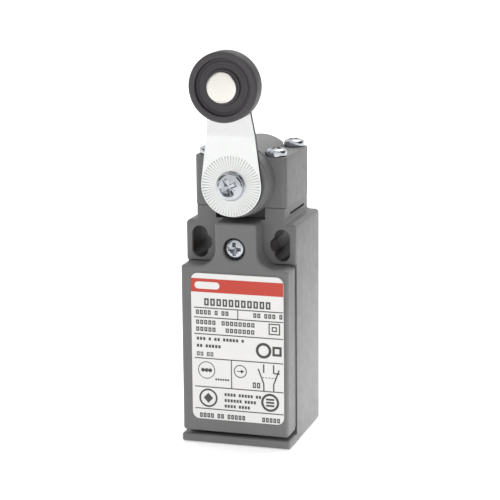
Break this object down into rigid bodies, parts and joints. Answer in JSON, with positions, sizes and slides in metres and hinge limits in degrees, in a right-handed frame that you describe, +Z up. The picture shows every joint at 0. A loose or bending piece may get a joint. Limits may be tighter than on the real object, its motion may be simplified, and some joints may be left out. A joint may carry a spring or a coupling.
{
  "type": "limit switch",
  "caption": "Narrow plastic limit switch with a swinging metal lever and roller on a bolted head, a hinged front cover over the contact block and slotted fixing ears.",
  "frame": {"origin": "centre of the rear mounting face between the two fixing holes", "axes": "+X to the right seen from the front, +Y out of the rear mounting face (away from the cover), +Z up along the body towards the roller"},
  "size_m": [0.03, 0.0391, 0.105],
  "materials": {
    "body_plastic": "dark grey moulded glass-filled plastic, fine matt grain",
    "label": "off-white printed film with a red band and dark grey print",
    "zinc": "bright zinc plating on steel",
    "nickel": "bright nickel plating, slightly warm",
    "roller_plastic": "near-black moulded plastic, satin",
    "steel": "turned steel",
    "brass": "stamped brass",
    "silver": "silver alloy contact strip",
    "bronze": "sintered bronze",
    "rubber": "black nitrile rubber",
    "cream_plastic": "cream moulded plastic",
    "red_plastic": "red moulded plastic",
    "black_plastic": "black moulded plastic"
  },
  "bodies": {
    "housing": {"housing": "body_plastic", "cover_hinge_pin": "steel", "head_body": "body_plastic", "head_gasket": "rubber", "head_screw_1": "zinc", "head_screw_2": "zinc", "head_screw_3": "zinc", "head_screw_4": "zinc", "shaft_bush": "bronze", "shaft_seal": "rubber", "plunger_spring": "steel", "contact_base": "cream_plastic", "contact_base_screw": "zinc", "fixed_contact_no_left": "brass", "terminal_clamp_no_left": "zinc", "terminal_screw_no_left": "zinc", "fixed_contact_no_right": "brass", "terminal_clamp_no_right": "zinc", "terminal_screw_no_right": "zinc", "fixed_contact_nc_left": "brass", "terminal_clamp_nc_left": "zinc", "terminal_screw_nc_left": "zinc", "fixed_contact_nc_right": "brass", "terminal_clamp_nc_right": "zinc", "terminal_screw_nc_right": "zinc"},
    "cover": {"cover": "body_plastic", "cover_gasket": "rubber", "cover_screw": "zinc", "nameplate": "label"},
    "lever": {"shaft": "steel", "shaft_clip": "steel", "lever": "zinc", "lever_washer": "zinc", "lever_screw": "zinc", "roller_pin": "nickel"},
    "roller": {"roller": "roller_plastic"},
    "plunger": {"plunger": "red_plastic"},
    "carrier": {"contact_carrier": "black_plastic", "bridge_no": "silver", "bridge_nc": "silver", "bridge_no_spring": "steel", "bridge_nc_spring": "steel"}
  },
  "joints": [
    {"name": "cover_hinge", "type": "hinge", "parent": "housing", "child": "cover", "pos_m": [0, -0.0274, -0.0481], "axis": [1, 0, 0], "range_deg": [0, 90]},
    {"name": "lever_swing", "type": "hinge", "parent": "housing", "child": "lever", "pos_m": [0, -0.015, 0.0167], "axis": [0, 1, 0], "range_deg": [-75, 75], "stiffness_Nm_per_rad": 0.08},
    {"name": "roller_spin", "type": "hinge", "parent": "lever", "child": "roller", "pos_m": [0, -0.0358, 0.0427], "axis": [0, 1, 0], "continuous": true},
    {"name": "plunger_slide", "type": "slide", "parent": "housing", "child": "plunger", "axis": [0, 0, -1], "range_m": [0, 0.003], "stiffness_N_per_m": 400, "springref_m": -0.002, "deforming": ["plunger_spring"]},
    {"name": "carrier_slide", "type": "slide", "parent": "housing", "child": "carrier", "axis": [0, 0, -1], "range_m": [0, 0.003]}
  ],
  "couplings": [
    {"joint": "carrier_slide", "follows": "plunger_slide", "ratio": 1}
  ]
}
